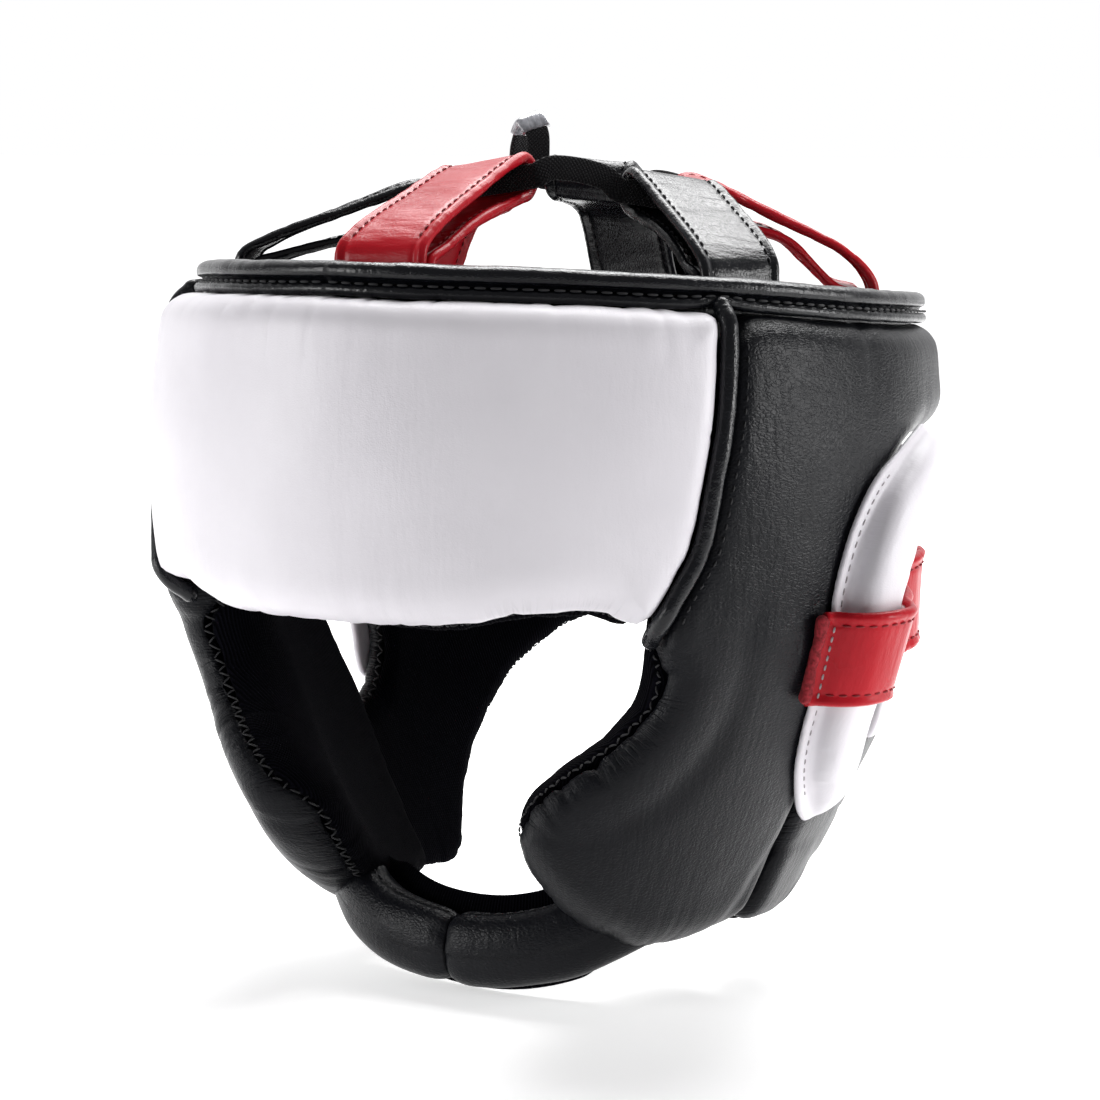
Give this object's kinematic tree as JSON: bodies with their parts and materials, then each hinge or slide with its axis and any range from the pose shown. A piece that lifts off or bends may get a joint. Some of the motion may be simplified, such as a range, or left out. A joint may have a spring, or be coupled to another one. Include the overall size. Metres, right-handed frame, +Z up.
{
  "type": "sparring headgear",
  "caption": "Padded leather sparring headgear with cheek guards, ear slots under straps, an under-chin bar and leather crown loops drawn together by a flat lace.",
  "frame": {"origin": "middle of the head opening, level with the top of the rim at the wearer's temples", "axes": "+Z up out of the crown, -Y towards the wearer's front, +X towards the wearer's left"},
  "size_m": [0.239, 0.2352, 0.243],
  "materials": {
    "white_leather": "smooth, soft sheen, fine creases",
    "black_leather": "fine pebble grain, broad sheen",
    "red_leather": "smooth, glossy",
    "lining": "brushed knit, matte",
    "lace": "flat woven, matte",
    "clear_tape": "clear, glossy"
  },
  "bodies": {
    "root": {"forehead_pad": "white_leather", "forehead_lining": "lining", "side_pad_left": "black_leather", "side_pad_right": "black_leather", "side_lining_left": "lining", "side_lining_right": "lining", "back_panel": "black_leather", "back_lining": "lining", "front_piping_left": "black_leather", "front_piping_right": "black_leather", "rim_binding": "black_leather", "rim_piping": "black_leather", "ear_roll_front_left": "white_leather", "ear_roll_front_right": "white_leather", "ear_roll_rear_left": "white_leather", "ear_roll_rear_right": "white_leather", "ear_strap_left": "red_leather", "ear_strap_right": "red_leather", "chin_bar_left": "black_leather", "chin_bar_right": "black_leather", "chin_lining": "lining", "crown_loop_front": "red_leather", "crown_loop_left_front": "black_leather", "crown_loop_left_rear": "red_leather", "crown_loop_rear": "black_leather", "crown_loop_right_rear": "red_leather", "crown_loop_right_front": "black_leather", "crown_lace": "lace", "lace_tape_front": "clear_tape", "lace_tape_rear": "clear_tape"}
  },
  "joints": []
}
